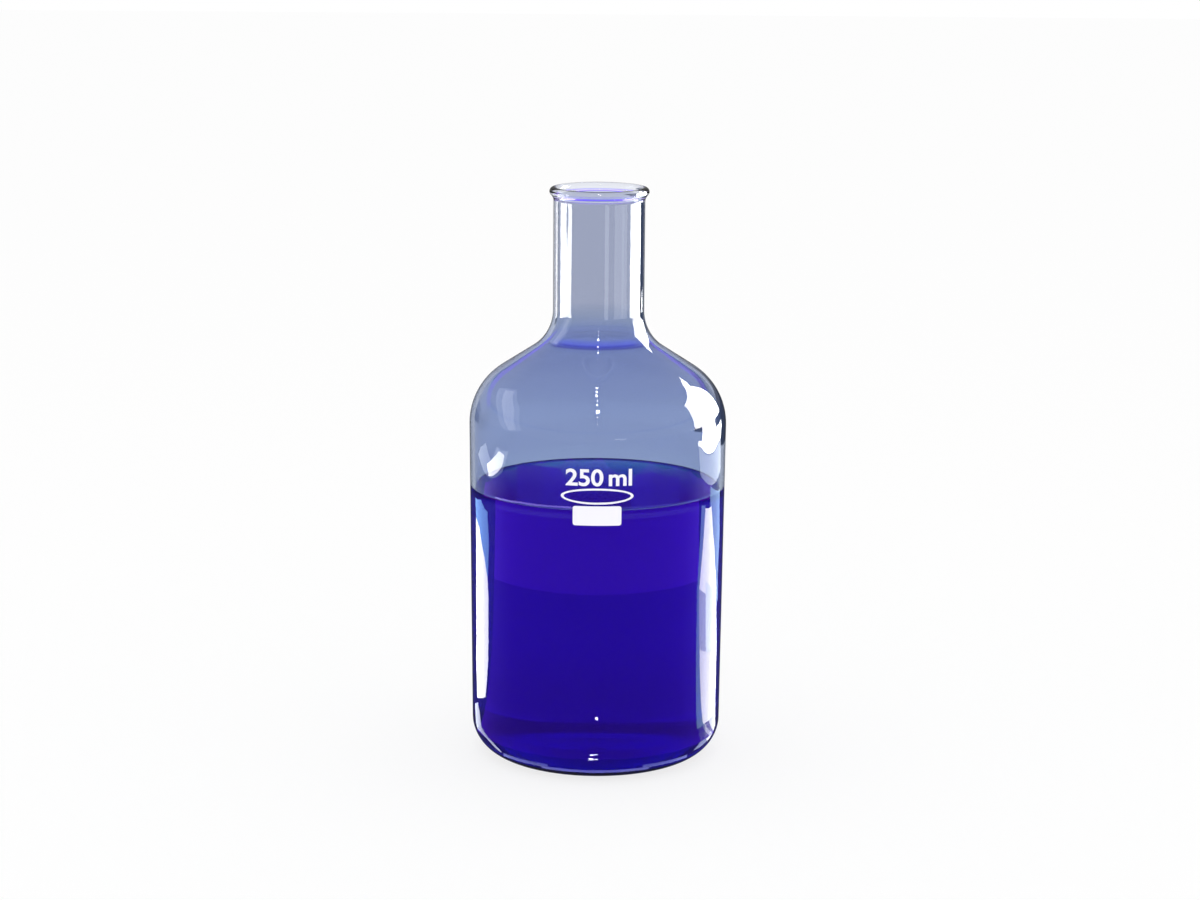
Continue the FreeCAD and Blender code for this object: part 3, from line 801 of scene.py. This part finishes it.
FAR_CAST = flat_ring(CAST_MIDDLE, CONTACT_RADIUS)
NEAR_CAST = flat_ring(CAST_INSIDE, CAST_MIDDLE)
add_card("cast_far", "#6E31FF", 2.9, *around(FAR_CAST, CAST_TURNS))
add_card("cast_near", "#6E36FF", 1.3, *around(NEAR_CAST, CAST_TURNS))
SURFACE_INSIDE = around([(CONTACT_RADIUS, CAST_LIFT)], range(60, 301, 10))[0]
add_card("cast_surface", "#A000FF", 1.2, SURFACE_INSIDE + lying([
    (-0.327, 0.161), (-0.375, 0.067), (-0.393, -0.022), (-0.381, -0.141), (-0.318, -0.270),
    (-0.166, -0.392), (0.019, -0.429), (0.301, -0.291), (0.384, -0.132), (0.394, -0.013),
    (0.362, 0.106), (0.305, 0.195)], CAST_LIFT))
CONTACT_LINE = flat_ring(CONTACT_RADIUS, CONTACT_RADIUS + CONTACT_WIDTH, 2 * CAST_LIFT)
add_card("contact_left", "#B89CFF", 8.0, *around(CONTACT_LINE, range(195, 281, 5)))
add_card("contact_right", "#A07CFF", 2.5, *around(CONTACT_LINE, range(80, 196, 5)))

# A row of small lamps overhead, which draws the line of glints down the middle
LAMP_LEVEL = 60.0
ROW_UP = 0.9
ROW_ACROSS = -8 * MM
ROW_DEPTHS = (-1.55, -1.0, -0.66, -0.45, -0.30, -0.17, -0.05, 0.06)
ROW_LAMP_WIDTH = 0.018
ROW_LAMP_LENGTH = 0.04
for number, depth in enumerate(ROW_DEPTHS):
    corners = rectangle(ROW_ACROSS, depth, ROW_LAMP_WIDTH, ROW_LAMP_LENGTH)
    add_card(f"lamp_{number}", "#FFFFFF", LAMP_LEVEL, lying(corners, ROW_UP))

# Small lamps close to the table in front, which the heel shows as a cluster of bright spots;
# millimetres across and in depth, then width and length
GLINTS = (
    (-1.6, -45.8, 1.6, 3.0),
    (0.4, -46.5, 0.8, 1.5),
    (-1.6, -39.8, 1.6, 2.2),
    (0.4, -39.5, 0.8, 1.5),
    (1.4, -88.6, 2.4, 3.0),
)
for number, glint in enumerate(GLINTS):
    corners = rectangle(*(value * MM for value in glint))
    add_card(f"glint_{number}", "#FFFFFF", LAMP_LEVEL, lying(corners))

# Pale cards on the table under the heel, of which the heel draws its light lines
FRONT_LINE = flat_ring(30.2 * MM, 31.8 * MM)
SIDE_LINE = flat_ring(31.4 * MM, 33.4 * MM)
add_card("heel_line_front", "#AEB0FF", 2.6, *around(FRONT_LINE, range(150, 211, 4)))
add_card("heel_line_left", "#B4BCFF", 2.2, *around(SIDE_LINE, range(206, 240, 4)))
add_card("heel_line_right", "#B4BCFF", 2.2, *around(SIDE_LINE, range(122, 155, 4)))
add_card("heel_left", "#EAF1FF", 3.6, lying([
    (-0.0285, -0.0165), (-0.036, -0.0105), (-0.0395, -0.006), (-0.0415, -0.001),
    (-0.042, 0.0065), (-0.045, 0.013), (-0.049, 0.022), (-0.054, 0.034), (-0.0625, 0.030),
    (-0.060, 0.0195), (-0.0535, 0.0095), (-0.050, 0.0025), (-0.043, -0.006), (-0.038, -0.0115),
    (-0.031, -0.0165)], CAST_LIFT))
add_card("heel_right", "#F4F8FF", 5.0, lying([
    (0.070, 0.050), (0.056, 0.030), (0.047, 0.017), (0.040, 0.004), (0.036, -0.004),
    (0.042, -0.006), (0.052, -0.002), (0.062, 0.004), (0.080, 0.012), (0.080, 0.050)], CAST_LIFT))
add_card("heel_right_pale", "#D6E2FF", 2.4, lying([
    (0.036, -0.005), (0.031, -0.015), (0.040, -0.010), (0.053, -0.008), (0.066, -0.004),
    (0.066, 0.006), (0.052, -0.002), (0.042, -0.006)], CAST_LIFT))

# Flags behind the bottle, of which the wall of the glass draws its dark edges
add_card("flag_right_low", "#4A5874", 1.0, standing(
    (0.050, 0.295), (0.215, 0.210), 0.03, 0.07), seen_in="glass")
add_card("flag_right_high", "#4A5874", 1.0, standing(
    (0.100, 0.590), (0.430, 0.420), 0.0, 0.125), seen_in="glass")
add_card("flag_left", "#6F7B93", 1.0, standing(
    (-0.340, 0.500), (-0.430, 0.420), 0.02, 0.125), seen_in="glass")


# Camera
CAMERA_PLACE = Vector((0.65 * MM, -750 * MM, 240.7 * MM))
CAMERA_PITCH = 0.205
CAMERA_ROLL = math.radians(0.43)
FOCAL_PIXELS = 2799.2
PICTURE_PIXELS = 1200


def add_camera():
    """Where the photograph was taken from, read from the outline of the bottle."""
    data = bpy.data.cameras.new("view")
    data.lens = FOCAL_PIXELS / PICTURE_PIXELS * data.sensor_width
    camera = bpy.data.objects.new("view", data)
    bpy.context.scene.collection.objects.link(camera)
    pitch = Matrix.Rotation(math.pi / 2 - CAMERA_PITCH, 4, "X")
    roll = Matrix.Rotation(CAMERA_ROLL, 4, "Z")
    camera.matrix_world = Matrix.Translation(CAMERA_PLACE) @ pitch @ roll
    bpy.context.scene.camera = camera


add_camera()
bpy.context.scene.view_settings.view_transform = "Standard"
